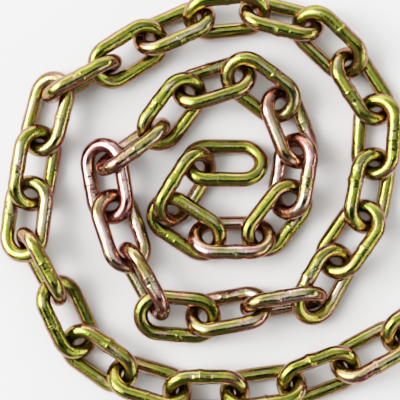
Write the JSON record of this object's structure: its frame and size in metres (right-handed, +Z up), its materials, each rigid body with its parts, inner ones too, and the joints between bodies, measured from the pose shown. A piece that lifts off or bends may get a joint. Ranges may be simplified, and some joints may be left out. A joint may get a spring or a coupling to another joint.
{
  "type": "length of welded steel chain",
  "caption": "Length of welded steel link chain with yellow zinc plating, laid flat in a loose spiral with one free end in the middle.",
  "frame": {"origin": "bottom centre of the box around the whole laid chain, on the floor", "axes": "+Z up from the floor, +Y towards the top of the picture, +X towards its right-hand side"},
  "size_m": [0.2154, 0.1738, 0.0218],
  "materials": {
    "yellow_zinc_plated_steel": "bright yellow zinc plating with olive, gold and pink sheen"
  },
  "bodies": {
    "root": {"link_01": "yellow_zinc_plated_steel", "link_02": "yellow_zinc_plated_steel", "link_03": "yellow_zinc_plated_steel", "link_04": "yellow_zinc_plated_steel", "link_05": "yellow_zinc_plated_steel", "link_06": "yellow_zinc_plated_steel", "link_07": "yellow_zinc_plated_steel", "link_08": "yellow_zinc_plated_steel", "link_09": "yellow_zinc_plated_steel", "link_10": "yellow_zinc_plated_steel", "link_11": "yellow_zinc_plated_steel", "link_12": "yellow_zinc_plated_steel", "link_13": "yellow_zinc_plated_steel", "link_14": "yellow_zinc_plated_steel", "link_15": "yellow_zinc_plated_steel", "link_16": "yellow_zinc_plated_steel", "link_17": "yellow_zinc_plated_steel", "link_18": "yellow_zinc_plated_steel", "link_19": "yellow_zinc_plated_steel", "link_20": "yellow_zinc_plated_steel", "link_21": "yellow_zinc_plated_steel", "link_22": "yellow_zinc_plated_steel", "link_23": "yellow_zinc_plated_steel", "link_24": "yellow_zinc_plated_steel", "link_25": "yellow_zinc_plated_steel", "link_26": "yellow_zinc_plated_steel", "link_27": "yellow_zinc_plated_steel", "link_28": "yellow_zinc_plated_steel", "link_29": "yellow_zinc_plated_steel", "link_30": "yellow_zinc_plated_steel", "link_31": "yellow_zinc_plated_steel", "link_32": "yellow_zinc_plated_steel", "link_33": "yellow_zinc_plated_steel", "link_34": "yellow_zinc_plated_steel", "link_35": "yellow_zinc_plated_steel", "link_36": "yellow_zinc_plated_steel", "link_37": "yellow_zinc_plated_steel", "link_38": "yellow_zinc_plated_steel", "link_39": "yellow_zinc_plated_steel", "link_40": "yellow_zinc_plated_steel", "link_41": "yellow_zinc_plated_steel", "link_42": "yellow_zinc_plated_steel"}
  },
  "joints": []
}
